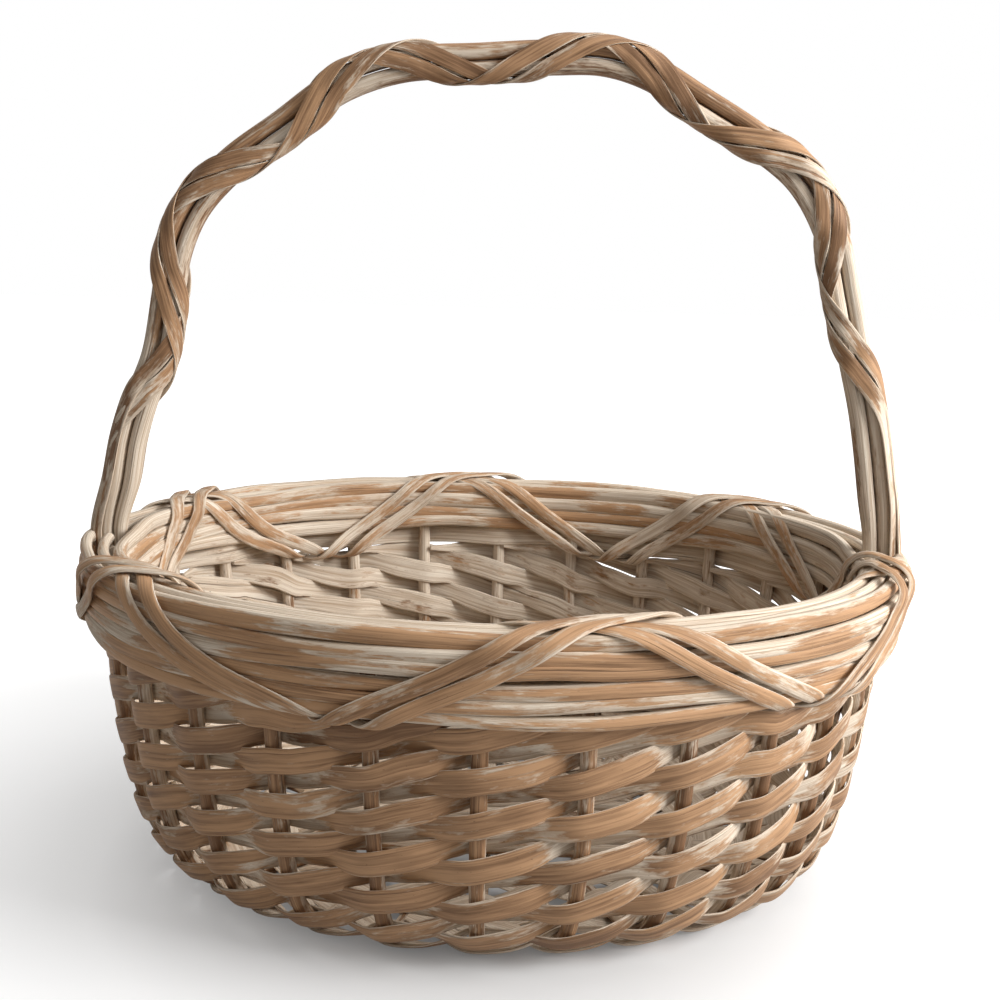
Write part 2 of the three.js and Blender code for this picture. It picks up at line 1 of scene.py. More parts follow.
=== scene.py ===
"""A whitewashed gathering basket of split willow, its weavers climbing from stake to stake."""
import math

import bpy
import numpy as np
from mathutils import Matrix, Vector


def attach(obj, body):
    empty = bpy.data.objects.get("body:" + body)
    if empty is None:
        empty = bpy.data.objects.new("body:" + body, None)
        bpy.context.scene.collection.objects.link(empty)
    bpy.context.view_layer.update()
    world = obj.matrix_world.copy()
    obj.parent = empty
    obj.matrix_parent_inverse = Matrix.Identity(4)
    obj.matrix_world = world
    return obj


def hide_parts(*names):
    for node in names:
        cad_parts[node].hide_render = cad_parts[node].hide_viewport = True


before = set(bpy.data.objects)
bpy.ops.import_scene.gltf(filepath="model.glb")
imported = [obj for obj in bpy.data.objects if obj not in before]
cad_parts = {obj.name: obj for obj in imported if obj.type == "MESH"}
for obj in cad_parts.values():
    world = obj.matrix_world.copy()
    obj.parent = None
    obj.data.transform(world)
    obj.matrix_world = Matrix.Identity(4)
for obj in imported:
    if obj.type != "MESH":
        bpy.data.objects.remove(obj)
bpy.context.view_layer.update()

bl_info = {
    "name": "Gathering basket",
    "version": (1, 0, 0),
    "blender": (4, 5, 0),
    "location": "3D View > Sidebar > Basket",
    "description": "Weaves a whitewashed willow gathering basket with a wound bow handle",
    "category": "Add Mesh",
}

TURN = 2 * math.pi
UP = np.array([0.0, 0.0, 1.0])
BACKWARD = np.array([0.0, 1.0, 0.0])

# Clearances in metres: between strands, under the floor, behind the outer rods, under the rim
GAP = 0.0003
FLOOR_GAP = 0.0004
ROD_GAP = 0.0009
RIM_GAP = 0.0008

# How many steps a strand takes from one stake to the next
STRIP_STEPS = 15
ROUND_STEPS = 14
ROD_STEPS = 9
LASHING_STEPS = 28

# How far the end of a round laps its start, from stake to stake
ROUND_LAP = 0.7
ROD_LAP = 0.6

# How far apart the two skeins of a pair lie, along the rim and along the handle
LASHING_PITCH = 0.0176
WRAP_PITCH = 0.0215

# How far the skeins that lie over the others stand off, on the rim and on the handle
LASHING_LIFT = 0.0024
WRAP_LIFT = 0.0008

# The bow's shape as it was bent by hand: share of the half span, share of the rise
BOW_SHAPE = (
    (-1, 0), (-0.968, 0.11), (-0.947, 0.2), (-0.91, 0.295), (-0.868, 0.38), (-0.838, 0.5),
    (-0.815, 0.6), (-0.765, 0.69), (-0.67, 0.775), (-0.54, 0.853), (-0.4, 0.935),
    (-0.25, 0.978), (-0.06, 0.99), (0.12, 1), (0.24, 1), (0.35, 0.975), (0.47, 0.92),
    (0.62, 0.848), (0.735, 0.775), (0.815, 0.67), (0.862, 0.54), (0.9, 0.42), (0.94, 0.3),
    (0.975, 0.15), (1, 0),
)

# Where the rim's skeins pass under the rods, in steps from stake to stake
LASHING_TROUGHS = (3.38, 7.5, 11.5, 15.5, 19.5, 24.64)

# How a rim skein winds on from a crest to a trough: share of the way along the rim, share of the
# way round the band. At the ends of the oval it drops sooner.
WINDING = ((0, 0), (0.27, 0.2), (0.5, 0.46), (0.75, 0.7), (0.92, 0.84), (1, 1))
END_WINDING = (
    (0, 0), (0.2, 0.2), (0.33, 0.42), (0.52, 0.6), (0.78, 0.75), (0.93, 0.86), (1, 1),
)

# Where each pair of the handle's skeins crosses the front, as shares of the bow above the rim
FALLING_CROSSINGS = (0.098, 0.269, 0.439, 0.605, 0.77)
RISING_CROSSINGS = (0.18, 0.369, 0.523, 0.7, 0.87)

# Where each skein of a pair stops winding at the two feet, in turns from the outer side, and how
# far it stands off there
FALLING_ENDS = (((0.07, -4.72), (0.0, 0.0)), ((-0.12, -4.8), (0.0025, 0.0)))
RISING_ENDS = (((-0.78, 3.96), (0.0, 0.0035)), ((-0.7, 3.9), (0.0, 0.002)))

# Each slot's finish: how far it is worn down to the wood, and how light that wood is. The stakes'
# wood is painted darker as a painted shade, for the shade they stand in.
FINISHES_AND_PAINTED_SHADE = {
    # Painted shade: the stakes' wood is painted a darker brown
    "stake_willow": (0.1, -0.4),
    "split_willow": (-0.06, 0.0),
    "rim_willow": (-0.06, 0.36),
    "handle_willow": (0.02, -0.22),
}


def length(name, description, default):
    return bpy.props.FloatProperty(
        name=name, description=description, default=default,
        unit="LENGTH", subtype="DISTANCE", precision=4,
    )


def colour(name, description, default):
    return bpy.props.FloatVectorProperty(
        name=name, description=description, default=default,
        subtype="COLOR", size=3, min=0, max=1,
    )


class BasketSizes(bpy.types.PropertyGroup):
    """Sizes of the basket's body, rim and handle"""

    rim_length: length("Rim length", "Over the outer rods, foot to foot of the handle", 0.4)
    rim_width: length("Rim width", "Over the outer rods, front to back", 0.3)
    rim_top: length("Rim top", "Height of the rods of the rim", 0.165)
    flare: length("Flare", "How far the wall leans out from floor to rim", 0.045)
    foot_rounding: length("Foot rounding", "How far the wall follows the floor at its foot", 0.042)
    belly_height: length("Belly height", "The higher, the rounder the wall's lower half", 0.112)
    belly_lean: length("Belly lean", "How far the wall leans out above that height", 0.0065)
    stake: length("Stake", "Thickness of a stake", 0.007)
    weaver_thick: length("Weaver thickness", "Thickness of a split weaver", 0.0018)
    floor_weave: length("Floor weave", "Width of the woven ring of the floor", 0.044)
    outer_rod: length("Outer rod", "Thickness of an outer rod of the rim", 0.006)
    inner_rod: length("Inner rod", "Thickness of an inner rod of the rim", 0.0064)
    filler: length("Filler", "Thickness of the rods on the stake tops", 0.0054)
    lashing: length("Lashing", "Width of a skein of the rim", 0.0072)
    lashing_thick: length("Lashing thickness", "Thickness of a skein of the rim", 0.0021)
    handle_top: length("Handle top", "Height over the wound handle", 0.405)
    bow_rod: length("Bow rod", "Thickness of a rod of the handle, across both rods", 0.0079)
    bow_depth: length("Bow depth", "Thickness of a rod of the handle, front to back", 0.0104)
    bow_foot: length("Bow foot", "Thickness of a rod of the handle inside the rim", 0.0068)
    wrap: length("Wrap", "Width of a skein of the handle", 0.0076)
    wrap_thick: length("Wrap thickness", "Thickness of a skein of the handle", 0.0015)


class BasketColours(bpy.types.PropertyGroup):
    """Colours of the willow and its whitewash"""

    tan: colour("Tan", "Bare willow on the raised faces", (0.49, 0.286, 0.152))
    brown: colour("Brown", "Darker grain of the willow", (0.19, 0.1, 0.05))
    wash: colour("Whitewash", "Whitewash where it is thick", (0.78, 0.685, 0.565))
    thin_wash: colour("Thin whitewash", "Where the wood shows through", (0.5, 0.375, 0.265))


# Lines and drifts

def unit(v):
    return v / np.linalg.norm(v, axis=-1, keepdims=True)


def ease(share):
    """From 0 to 1 as the share goes from 0 to 1, with a soft start and end"""
    return share * share * (3 - 2 * share)


def ease_between(value, low, high, soft):
    """The value held between two limits that it runs into softly"""
    value = high - soft * np.logaddexp(0, (high - value) / soft)
    return low + soft * np.logaddexp(0, (value - low) / soft)


def soften(padded, reach):
    """Each value blended with its neighbours within reach. The padding at both ends is used up."""
    window = np.hanning(2 * reach + 3)[1:-1]
    return np.convolve(padded, window / window.sum(), mode="valid")


def wander(along, stretch, seed):
    """Smooth random drift between -1 and 1 that turns about once every stretch"""
    rng = np.random.default_rng(seed)
    place = np.asarray(along) / stretch
    first = math.floor(place.min()) - 1
    knots = rng.uniform(-1, 1, int(math.ceil(place.max())) - first + 3)
    i = np.floor(place).astype(int) - first
    share = ease(place - np.floor(place))
    return knots[i] * (1 - share) + knots[i + 1] * share


def run_along(points):
    """The length of the line up to each of its points"""
    return np.concatenate([[0], np.cumsum(np.linalg.norm(np.diff(points, axis=0), axis=1))])


def respace(points, count):
    """The same line in steps of equal length"""
    along = run_along(points)
    even = np.linspace(0, along[-1], count)
    return np.stack([np.interp(even, along, column) for column in points.T], axis=1)


def smooth_line(points, count):
    """A centripetal curve through the points, in steps of equal length"""
    def lean(u, start, end, first, last):
        return (end - u) / (end - start) * first + (u - start) / (end - start) * last

    points = np.asarray(points, float)
    padded = np.vstack([2 * points[0] - points[1], points, 2 * points[-1] - points[-2]])
    line = []
    for k in range(len(points) - 1):
        p = padded[k:k + 4]
        roots = np.sqrt(np.linalg.norm(np.diff(p, axis=0), axis=1))
        t = np.concatenate([[0], np.cumsum(roots + 1e-9)])
        u = np.linspace(t[1], t[2], 24, endpoint=False)[:, None]
        a = [lean(u, t[i], t[i + 1], p[i], p[i + 1]) for i in range(3)]
        b = [lean(u, t[i], t[i + 2], a[i], a[i + 1]) for i in range(2)]
        line.append(lean(u, t[1], t[2], b[0], b[1]))
    return respace(np.vstack(line + [points[-1:]]), count)


# Shape of the body

class Body:
    """The oval wall that every strand follows, with angles from the front to the right"""

    stakes = 26
    cross_rods = 7
    outer_rods = 6
    inner_rods = 4
    side_rows = 13
    floor_rows = 4

    def __init__(self, sizes):
        self.sizes = sizes
        self.step = TURN / self.stakes
        radius = sizes.stake / 2
        self.floor_level = sizes.weaver_thick + GAP + FLOOR_GAP + radius
        self.weave_offset = radius + GAP + sizes.weaver_thick / 2
        weave_face = self.weave_offset + sizes.weaver_thick / 2
        self.top_rod_offset = radius + GAP + sizes.outer_rod / 2
        self.outer_rod_offset = weave_face + ROD_GAP + sizes.outer_rod / 2
        self.inner_rod_offset = radius + GAP + sizes.inner_rod / 2
        self.rod_pitch = sizes.outer_rod + GAP
        self.inner_pitch = sizes.inner_rod + GAP
        self.band_bottom = sizes.rim_top - self.outer_rods * self.rod_pitch
        self.inner_bottom = sizes.rim_top - self.inner_rods * self.inner_pitch
        self.stake_top = sizes.rim_top - sizes.filler - GAP
        rim_reach = self.top_rod_offset + sizes.outer_rod / 2 + sizes.flare
        self.floor_length = sizes.rim_length / 2 - rim_reach
        self.floor_width = sizes.rim_width / 2 - rim_reach
        t = np.linspace(0, 1, 81)[:, None]
        corners = np.array([
            (0, self.floor_level),
            (sizes.foot_rounding, self.floor_level),
            (sizes.flare - sizes.belly_lean, sizes.belly_height),
            (sizes.flare, sizes.rim_top),
        ])
        blend = np.hstack([(1 - t) ** 3, 3 * t * (1 - t) ** 2, 3 * t**2 * (1 - t), t**3])
        self.profile = blend @ corners
        self.lengths = run_along(self.profile)
        self.row_pitch = self.length_at(self.band_bottom - RIM_GAP) / self.side_rows

    def length_at(self, height):
        """The length along the wall up to a height"""
        return np.interp(height, self.profile[:, 1], self.lengths)

    def wall(self, along):
        """Distance out and height at a length along the wall, and on along the floor below 0"""
        along = np.asarray(along, float)
        out, high = (np.interp(along, self.lengths, column) for column in self.profile.T)
        return np.where(along < 0, along, out), np.where(along < 0, self.floor_level, high)

    def slope(self, along):
        """How far the wall goes out and up in a step along it"""
        reach = 0.002
        out_a, high_a = self.wall(np.asarray(along, float) - reach)
        out_b, high_b = self.wall(np.asarray(along, float) + reach)
        run = np.hypot(out_b - out_a, high_b - high_a)
        return (out_b - out_a) / run, (high_b - high_a) / run

    def wall_face(self, angle, along):
        """The place at a length along the wall, and the directions out from it and up along it"""
        out, high = self.wall(along)
        lean_out, lean_up = (np.broadcast_to(v, angle.shape)[:, None] for v in self.slope(along))
        outward = self.normal(angle, out)
        face, up = outward * lean_up - UP * lean_out, outward * lean_out + UP * lean_up
        return self.point(angle, out, high), face, up

    def point(self, angle, out, high):
        """The place at an angle, a distance out from the floor's oval and a height"""
        return np.stack([
            (self.floor_length + out) * np.sin(angle),
            -(self.floor_width + out) * np.cos(angle),
            np.broadcast_to(high, np.shape(angle)),
        ], axis=-1)

    def normal(self, angle, out):
        """The level direction straight out from the oval"""
        across = np.stack([
            np.sin(angle) / (self.floor_length + out),
            -np.cos(angle) / (self.floor_width + out),
            np.zeros_like(angle),
        ], axis=-1)
        return unit(across)

    def speed(self, angle, out):
        """The length round the oval in a step of angle"""
        long = (self.floor_length + out) * np.cos(angle)
        return np.hypot(long, (self.floor_width + out) * np.sin(angle))

    def rim_point(self, angle, high, offset):
        """The place at an angle and a height, offset straight out from the stakes"""
        out, _ = self.wall(self.length_at(high))
        offset = np.asarray(offset)[..., None]
        return self.point(angle, out, high) + self.normal(angle, out) * offset

    def lapped_round(self, lap, steps):
        """Places round the basket and on past the start, and how far each one is lapped, 0 to 1"""
        place = np.arange(int((self.stakes + lap) * steps) + 1) / steps
        return place, np.clip((place - self.stakes + 0.35) / 0.5, 0, 1)

    def drift(self, place, level):
        """How far the rows sag or rise at a place round the wall and a level in rows"""
        waves = ((0.0007, 1.7, 0.9, 0.0), (0.0006, 0.63, -0.5, 2.0), (0.0003, 4.1, 1.3, 1.0))
        return sum(
            size * np.sin(along * place + up * level + start) for size, along, up, start in waves
        )

    def squeeze(self, place):
        """1 where the rim's skeins pass through the wall, 0 away from there"""
        half = self.stakes / 2
        away = (np.asarray(place)[:, None] - LASHING_TROUGHS + half) % self.stakes - half
        return ease(np.clip(1.9 - 2.6 * np.abs(away).min(axis=1), 0, 1))

    def paler_right_end(self, angle):
        """1 at the right end, where the strands are painted paler, 0 from the middle to the left"""
        return np.clip(np.sin(angle), 0, 1) ** 2

    def foot_bulge(self, angle):
        """1 at a handle foot, falling smoothly to 0 just past the stakes beside it"""
        away = (np.asarray(angle) + math.pi / 2) % math.pi
        away = np.minimum(away, math.pi - away)
        return ease(np.clip(1 - away / (self.step * 1.35), 0, 1))


# Sections of the strands: x points away from what the strand lies on, y across it

def round_section(sides=12):
    turn = np.arange(sides) / sides * TURN
    return np.stack([np.cos(turn), np.sin(turn)], axis=1) / 2


def split_section(sides, dome, back, square, dome_square=0.7, back_square=0.6):
    """A section with a domed face and a flatter back, the squarer the smaller its powers are"""
    turn = np.arange(sides) / sides * TURN
    x = np.cos(turn)
    y = np.sin(turn)
    x = np.where(x > 0, dome * np.abs(x) ** dome_square, -back * np.abs(x) ** back_square)
    y = np.sign(y) * np.abs(y) ** square / 2
    return np.stack([x, y], axis=1)


def lay_strand(name, route, facing, wide, thick, section, wear, seed):
    """A strand along a route: a flat grid rolled round it, closed along its seam and at its ends"""
    rows, sides = len(route), len(section)
    bpy.ops.object.select_all(action="DESELECT")
    bpy.ops.mesh.primitive_grid_add(x_subdivisions=rows - 1, y_subdivisions=sides, size=1)
    strand = bpy.context.active_object
    strand.name = name + "_willow"
    mesh = strand.data
    mesh.name = strand.name
    flat = np.empty(len(mesh.vertices) * 3)
    mesh.vertices.foreach_get("co", flat)
    flat = flat.reshape(-1, 3)
    i = np.rint((flat[:, 0] + 0.5) * (rows - 1)).astype(int)
    j = np.rint((flat[:, 1] + 0.5) * sides).astype(int)
    turn = j % sides

    ahead = unit(np.gradient(route, axis=0))
    across = unit(np.cross(ahead, facing))
    facing = unit(np.cross(across, ahead))
    wide = np.broadcast_to(wide, (rows,))
    thick = np.broadcast_to(thick, (rows,))
    place = (
        route[i]
        + facing[i] * (section[turn, 0] * thick[i])[:, None]
        + across[i] * (section[turn, 1] * wide[i])[:, None]
    )
    mesh.vertices.foreach_set("co", place.ravel())

    # The strand's own map runs in decimetres along it and round it, so that grain keeps its scale.
    # Its tone also sets where the map starts.
    tone = np.random.default_rng(seed).uniform()
    outline = section * [thick.mean(), wide.mean()]
    girth = np.linalg.norm(np.roll(outline, -1, axis=0) - outline, axis=1).sum()
    corner = np.empty(len(mesh.loops), dtype=np.int32)
    mesh.loops.foreach_get("vertex_index", corner)
    strand_map = mesh.uv_layers[0]
    strand_map.name = "strand"
    along = run_along(route)
    spread = np.stack([along[i[corner]], j[corner] / sides * girth], axis=1) * 10
    spread = spread + tone * np.array([37, 11])
    strand_map.uv.foreach_set("vector", spread.ravel())

    # Finish: red is how worn the face is, green how near an edge, blue the strand's own tone
    edge = np.abs(section[:, 1]) * 2
    finish = np.ones((len(mesh.vertices), 4))
    finish[:, 0] = np.clip(np.broadcast_to(wear, (rows, sides))[i, turn], 0, 1)
    # Near an edge the finish paints the strand paler: partly whitewash in the grooves, partly a
    # painted highlight
    finish[:, 1] = edge[turn] ** 4
    finish[:, 2] = tone
    layer = mesh.color_attributes.new("finish", "FLOAT_COLOR", "POINT")
    layer.data.foreach_set("color", finish.ravel())

    bpy.ops.object.mode_set(mode="EDIT")
    bpy.ops.mesh.select_all(action="SELECT")
    bpy.ops.mesh.remove_doubles(threshold=1e-6)
    bpy.ops.mesh.fill_holes(sides=0)
    bpy.ops.mesh.normals_make_consistent(inside=False)
    bpy.ops.object.mode_set(mode="OBJECT")
    bpy.ops.object.shade_smooth_by_angle(angle=math.radians(50))
    return strand


def keep(strand, slot, *nodes):
    """Give a strand its finish and its place among the solids"""
    strand.data.materials.clear()
    strand.data.materials.append(whitewashed(slot))
    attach(strand, "root")
    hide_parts(*nodes)


# Finishes

class Nodes:
    """Adds nodes to a finish. A socket is fed with another socket, a number or a colour."""

    def __init__(self, tree):
        self.tree = tree

    def add(self, kind, **settings):
        node = self.tree.nodes.new(kind)
        for key, value in settings.items():
            setattr(node, key, value)
        return node

    def feed(self, value, socket):
        if isinstance(value, bpy.types.NodeSocket):
            self.tree.links.new(value, socket)
        elif isinstance(value, tuple):
            socket.default_value = (*value, 1)
        else:
            socket.default_value = value

    def reckon(self, operation, *values):
        node = self.add("ShaderNodeMath", operation=operation)
        for value, socket in zip(values, node.inputs):
            self.feed(value, socket)
        return node.outputs[0]

    def pile(self, start, *layers):
        """The start with each layer's value added by its weight"""
        total = start
        for value, weight in layers:
            total = self.reckon("MULTIPLY_ADD", value, weight, total)
        return total

    def ramp(self, value, *stops):
        """A grey that runs from stop to stop as the value rises"""
        node = self.add("ShaderNodeValToRGB")
        elements = node.color_ramp.elements
        while len(elements) < len(stops):
            elements.new(0.5)
        for element, (place, grey) in zip(elements, stops):
            element.position = place
            element.color = (grey, grey, grey, 1)
        self.feed(value, node.inputs["Fac"])
        return node.outputs["Color"]

    def mix(self, share, first, second):
        node = self.add("ShaderNodeMix", data_type="RGBA")
        for value, socket in zip((share, first, second), (0, 6, 7)):
            self.feed(value, node.inputs[socket])
        return node.outputs[2]

    def seen(self):
        """1 for what is seen, in a gloss or through glass too, and 0 for light on the basket"""
        path = self.add("ShaderNodeLightPath").outputs
        straight = self.reckon("MAXIMUM", path["Is Camera Ray"], path["Is Glossy Ray"])
        return self.reckon("MAXIMUM", straight, path["Is Transmission Ray"])


def whitewashed(slot):
    """Willow with worn whitewash, as the strands of a slot have it, with a painted shade darkening
    the stakes' wood
    """
    name = "washed_" + slot
    if name in bpy.data.materials:
        return bpy.data.materials[name]
    bare, light = FINISHES_AND_PAINTED_SHADE[slot]
    colours = bpy.context.scene.basket_colours
    finish = bpy.data.materials.new(name)
    finish.use_nodes = True
    nodes = Nodes(finish.node_tree)
    shader = finish.node_tree.nodes["Principled BSDF"]
    strand_map = nodes.add("ShaderNodeUVMap", uv_map="strand")
    attribute = nodes.add("ShaderNodeAttribute", attribute_name="finish")
    parts = nodes.add("ShaderNodeSeparateColor")
    nodes.feed(attribute.outputs["Color"], parts.inputs["Color"])
    wear, edge, tone = parts.outputs

    def streaks(along, across, detail=2, roughness=0.5):
        """Noise in streaks along the strand, so many to a decimetre along it and across it"""
        mapping = nodes.add("ShaderNodeMapping")
        mapping.inputs["Scale"].default_value = (along, across, 1)
        nodes.feed(strand_map.outputs["UV"], mapping.inputs["Vector"])
        noise = nodes.add("ShaderNodeTexNoise")
        for key, value in (("Scale", 1), ("Detail", detail), ("Roughness", roughness)):
            noise.inputs[key].default_value = value
        nodes.feed(mapping.outputs["Vector"], noise.inputs["Vector"])
        return noise.outputs["Fac"]

    grain = streaks(1.4, 130, 5, 0.6)
    patches = streaks(2.6, 14, 4, 0.65)
    flakes = streaks(9, 62, 4, 0.65)
    drift = streaks(0.9, 2.5)

    # Where the whitewash is worn through. Near an edge the strand is painted paler: partly
    # whitewash kept in the grooves, partly a painted highlight along the edge.
    bareness = nodes.pile(
        bare, (wear, 1.0), (patches, 1.6), (grain, 1.0), (flakes, 1.0), (edge, -0.26)
    )
    wood_share = nodes.ramp(nodes.pile(-0.79, (bareness, 0.5)), (0.33, 0), (0.45, 1))

    # The wood and the whitewash, both streaked by the grain
    fibres = nodes.ramp(grain, (0.34, 0), (0.66, 1))
    broad = nodes.ramp(streaks(2.4, 40, 3, 0.6), (0.35, 0), (0.65, 1))
    # How light the wood is; for the stakes this lightness is a painted shade
    depth = nodes.pile(light - 0.88, (tone, 0.6), (broad, 0.6), (fibres, 0.7), (drift, 0.9))
    wood_tone = nodes.ramp(depth, (0.05, 0), (0.95, 1))
    wood = nodes.mix(wood_tone, tuple(colours.brown), tuple(colours.tan))
    wash_tone = nodes.ramp(grain, (0.38, 0), (0.6, 1))
    wash = nodes.mix(wash_tone, tuple(colours.thin_wash), tuple(colours.wash))
    face = nodes.mix(wood_share, wash, wood)

    # Dark pores and cracks
    pores = nodes.ramp(streaks(55, 260), (0.69, 0), (0.75, 1))
    cracks = nodes.ramp(streaks(0.8, 75), (0.66, 0), (0.71, 1))
    face = nodes.mix(nodes.pile(0.0, (pores, 0.6)), face, (0.13, 0.075, 0.045))
    face = nodes.mix(nodes.pile(0.0, (cracks, 0.55)), face, (0.11, 0.06, 0.035))
    nodes.feed(face, shader.inputs["Base Color"])
    nodes.feed(nodes.pile(0.78, (wood_share, -0.2)), shader.inputs["Roughness"])
    shader.inputs["Specular IOR Level"].default_value = 0.25

    relief = nodes.pile(0.4, (cracks, -0.6), (wood_share, -0.25), (broad, 0.25), (grain, 0.6))
    bump = nodes.add("ShaderNodeBump")
    bump.inputs["Strength"].default_value = 0.8
    bump.inputs["Distance"].default_value = 0.0006
    nodes.feed(relief, bump.inputs["Height"])
    nodes.feed(bump.outputs["Normal"], shader.inputs["Normal"])
    return finish


# Stakes and weavers

def bend_over(place, hold):
    """1 outside the even stakes and -1 inside the odd ones. Hold keeps a strip on its side past
    the middle of each gap."""
    sharpness = 0.965
    late = place - hold * np.sin(math.pi * place) ** 2
    return np.arcsin(sharpness * np.cos(math.pi * late)) / math.asin(sharpness)


def split_thickness(body, place, seed):
    return body.sizes.weaver_thick * 1.1 * (1 + 0.1 * wander(place, 2.0, seed + 4))


def weave_strip(body, name, angle, along, in_out, wide, tip, thick, outer, inner, seed):
    """A flat split along the wall, outside or inside the stakes as in_out says. Tip turns its face
    up, outer and inner are the wear of its two faces."""
    place, outward, up = body.wall_face(angle, along)
    route = place + outward * (body.weave_offset * in_out)[:, None]
    facing = outward * np.cos(tip)[:, None] + up * np.sin(tip)[:, None]
    section = split_section(16, dome=0.42, back=0.36, square=0.5)
    face = np.clip(section[:, 0] * 6 + 0.5, 0, 1)
    wear = inner[:, None] * (1 - face) + outer[:, None] * face
    return lay_strand(name, route, facing, wide, thick, section, wear, seed)


def climb(body, name, first, seed):
    """One strip of a side weaver, which climbs a row from each stake to the next"""
    place = np.arange(-0.94, 12.93, 1 / STRIP_STEPS)
    turn = first + place
    angle = turn * body.step
    in_out = 1 - 2 * ((1 - bend_over(place, 0.16)) / 2) ** 1.3

    # Its lower and upper edge in rows, cut off level at the wall's foot and under the rim
    low = np.maximum(place, -0.5)
    high = np.minimum(place + 1, 13.12)
    level = (low + high) / 2

    # Near the top it is pressed down where the rim's skeins pass through the wall
    near_top = np.clip(1 - (body.side_rows - 0.5 - level) / 6, 0, 1)
    squeeze = body.squeeze(turn % body.stakes) * near_top
    settled = np.clip((place - 0.5) / 2, 0, 1)
    along = level * body.row_pitch - 0.0034 * squeeze
    along = along + (body.drift(turn, level) + 0.0003 * wander(place, 1.0, seed)) * settled

    # It spreads where it passes a stake, on the outside a little more
    bowed = np.abs(in_out)
    spread = 0.2 * bowed + np.where(in_out > 0, 0.1, 0.09) * np.sin(math.pi * bowed)
    full = 0.99 + spread + 0.05 * wander(place, 1.7, seed + 3) - 0.1 * squeeze
    wide = body.row_pitch * full * (high - low)
    front = np.clip(0.5 + np.cos(angle), 0.25, 1)
    tip = wander(place, 1.3, seed + 2) * 0.1 * settled * front
    thick = split_thickness(body, place, seed)

    outer = 0.8 + 0.38 * in_out + 0.26 * wander(place, 0.6, seed + 5)
    # The strip is painted paler towards the right end
    outer = outer - 0.45 * body.paler_right_end(angle)
    inner = 0.33 - 0.1 * in_out + 0.14 * wander(place, 0.9, seed + 6)
    return weave_strip(body, name, angle, along, in_out, wide, tip, thick, outer, inner, seed)


def weave_side(body, name, first, seed):
    """A side weaver: the two strips of one split rod"""
    strips = [climb(body, name, first + i, seed + 20 * i) for i in range(2)]
    bpy.ops.object.select_all(action="DESELECT")
    for strip in strips:
        strip.select_set(True)
    bpy.context.view_layer.objects.active = strips[0]
    bpy.ops.object.join()
    keep(strips[0], "split_willow", name)


def weave_round(body, name, row, along, width, seed):
    """One round of a split weaver, outside every second stake, its end lapped over its start"""
    place, lapped = body.lapped_round(ROUND_LAP, ROUND_STEPS)
    first = 2 * ((row * 5) % (body.stakes // 2)) + row % 2
    in_out = bend_over(place + 1, 0.0)
    thick = split_thickness(body, place, seed) * (1 - 0.5 * lapped)
    wide = width * (0.92 + 0.1 * np.abs(in_out) ** 1.3 + 0.04 * wander(place, 1.7, seed + 3))
    tip = wander(place, 1.3, seed + 2) * 0.02
    outer = 0.6 + 0.45 * in_out + 0.3 * wander(place, 0.8, seed + 5)
    inner = 0.22 - 0.12 * in_out + 0.22 * wander(place, 0.9, seed + 6)
    in_out = in_out - lapped * 0.4
    angle = (first + place) * body.step
    strand = weave_strip(body, name, angle, along, in_out, wide, tip, thick, outer, inner, seed)
    keep(strand, "split_willow", name)


def stake_side(body, angle, seed):
    """One stake from its top down the wall and in along the floor"""
    along = np.arange(body.length_at(body.stake_top), -body.sizes.floor_weave, -0.004)
    place, outward, up = body.wall_face(np.full(along.shape, angle), along)
    sway = wander(along, 0.03, seed) * 0.0004 * np.clip(along / 0.02, 0, 1)
    return place + np.cross(up, outward) * sway[:, None], outward


def set_stake_rod(body, name, start, end, over, seed):
    """A rod that crosses the floor and turns up as a stake on both sides, some over the others"""
    stake = body.sizes.stake
    first, first_facing = stake_side(body, start, seed)
    last, last_facing = (line[::-1] for line in stake_side(body, end, seed + 50))
    gap = last[0] - first[-1]
    count = max(4, int(np.linalg.norm(gap) / 0.006))
    share = np.arange(1, count) / count
    middle = first[-1] + gap * share[:, None]
    if over:
        last_cross = np.array(body.step * (body.cross_rods // 2))
        edge = abs(body.point(last_cross, -body.sizes.floor_weave, 0)[0]) + stake * 0.9
        begin = abs(first[-1][0])
        lift = np.clip((begin - np.abs(middle[:, 0])) / max(begin - edge, 0.004), 0, 1)
        middle[:, 2] += (stake + GAP) * ease(lift)
    route = np.vstack([first, middle, last])
    facing = np.vstack([first_facing, np.tile(-UP, (len(middle), 1)), last_facing])
    along = run_along(route)
    section = round_section()
    uneven = 0.05 * wander(along, 0.05, seed + 1) + 0.02 * wander(along, 0.013, seed + 2)
    thick = stake * (1 + uneven)
    face = np.clip(section[:, 0] * 1.6 + 0.5, 0, 1)
    wear = 0.34 + 0.42 * face[None, :] + 0.2 * wander(along, 0.03, seed + 3)[:, None]
    strand = lay_strand(name, route, facing, thick, thick, section, wear, seed)
    keep(strand, "stake_willow", name)


# Rim

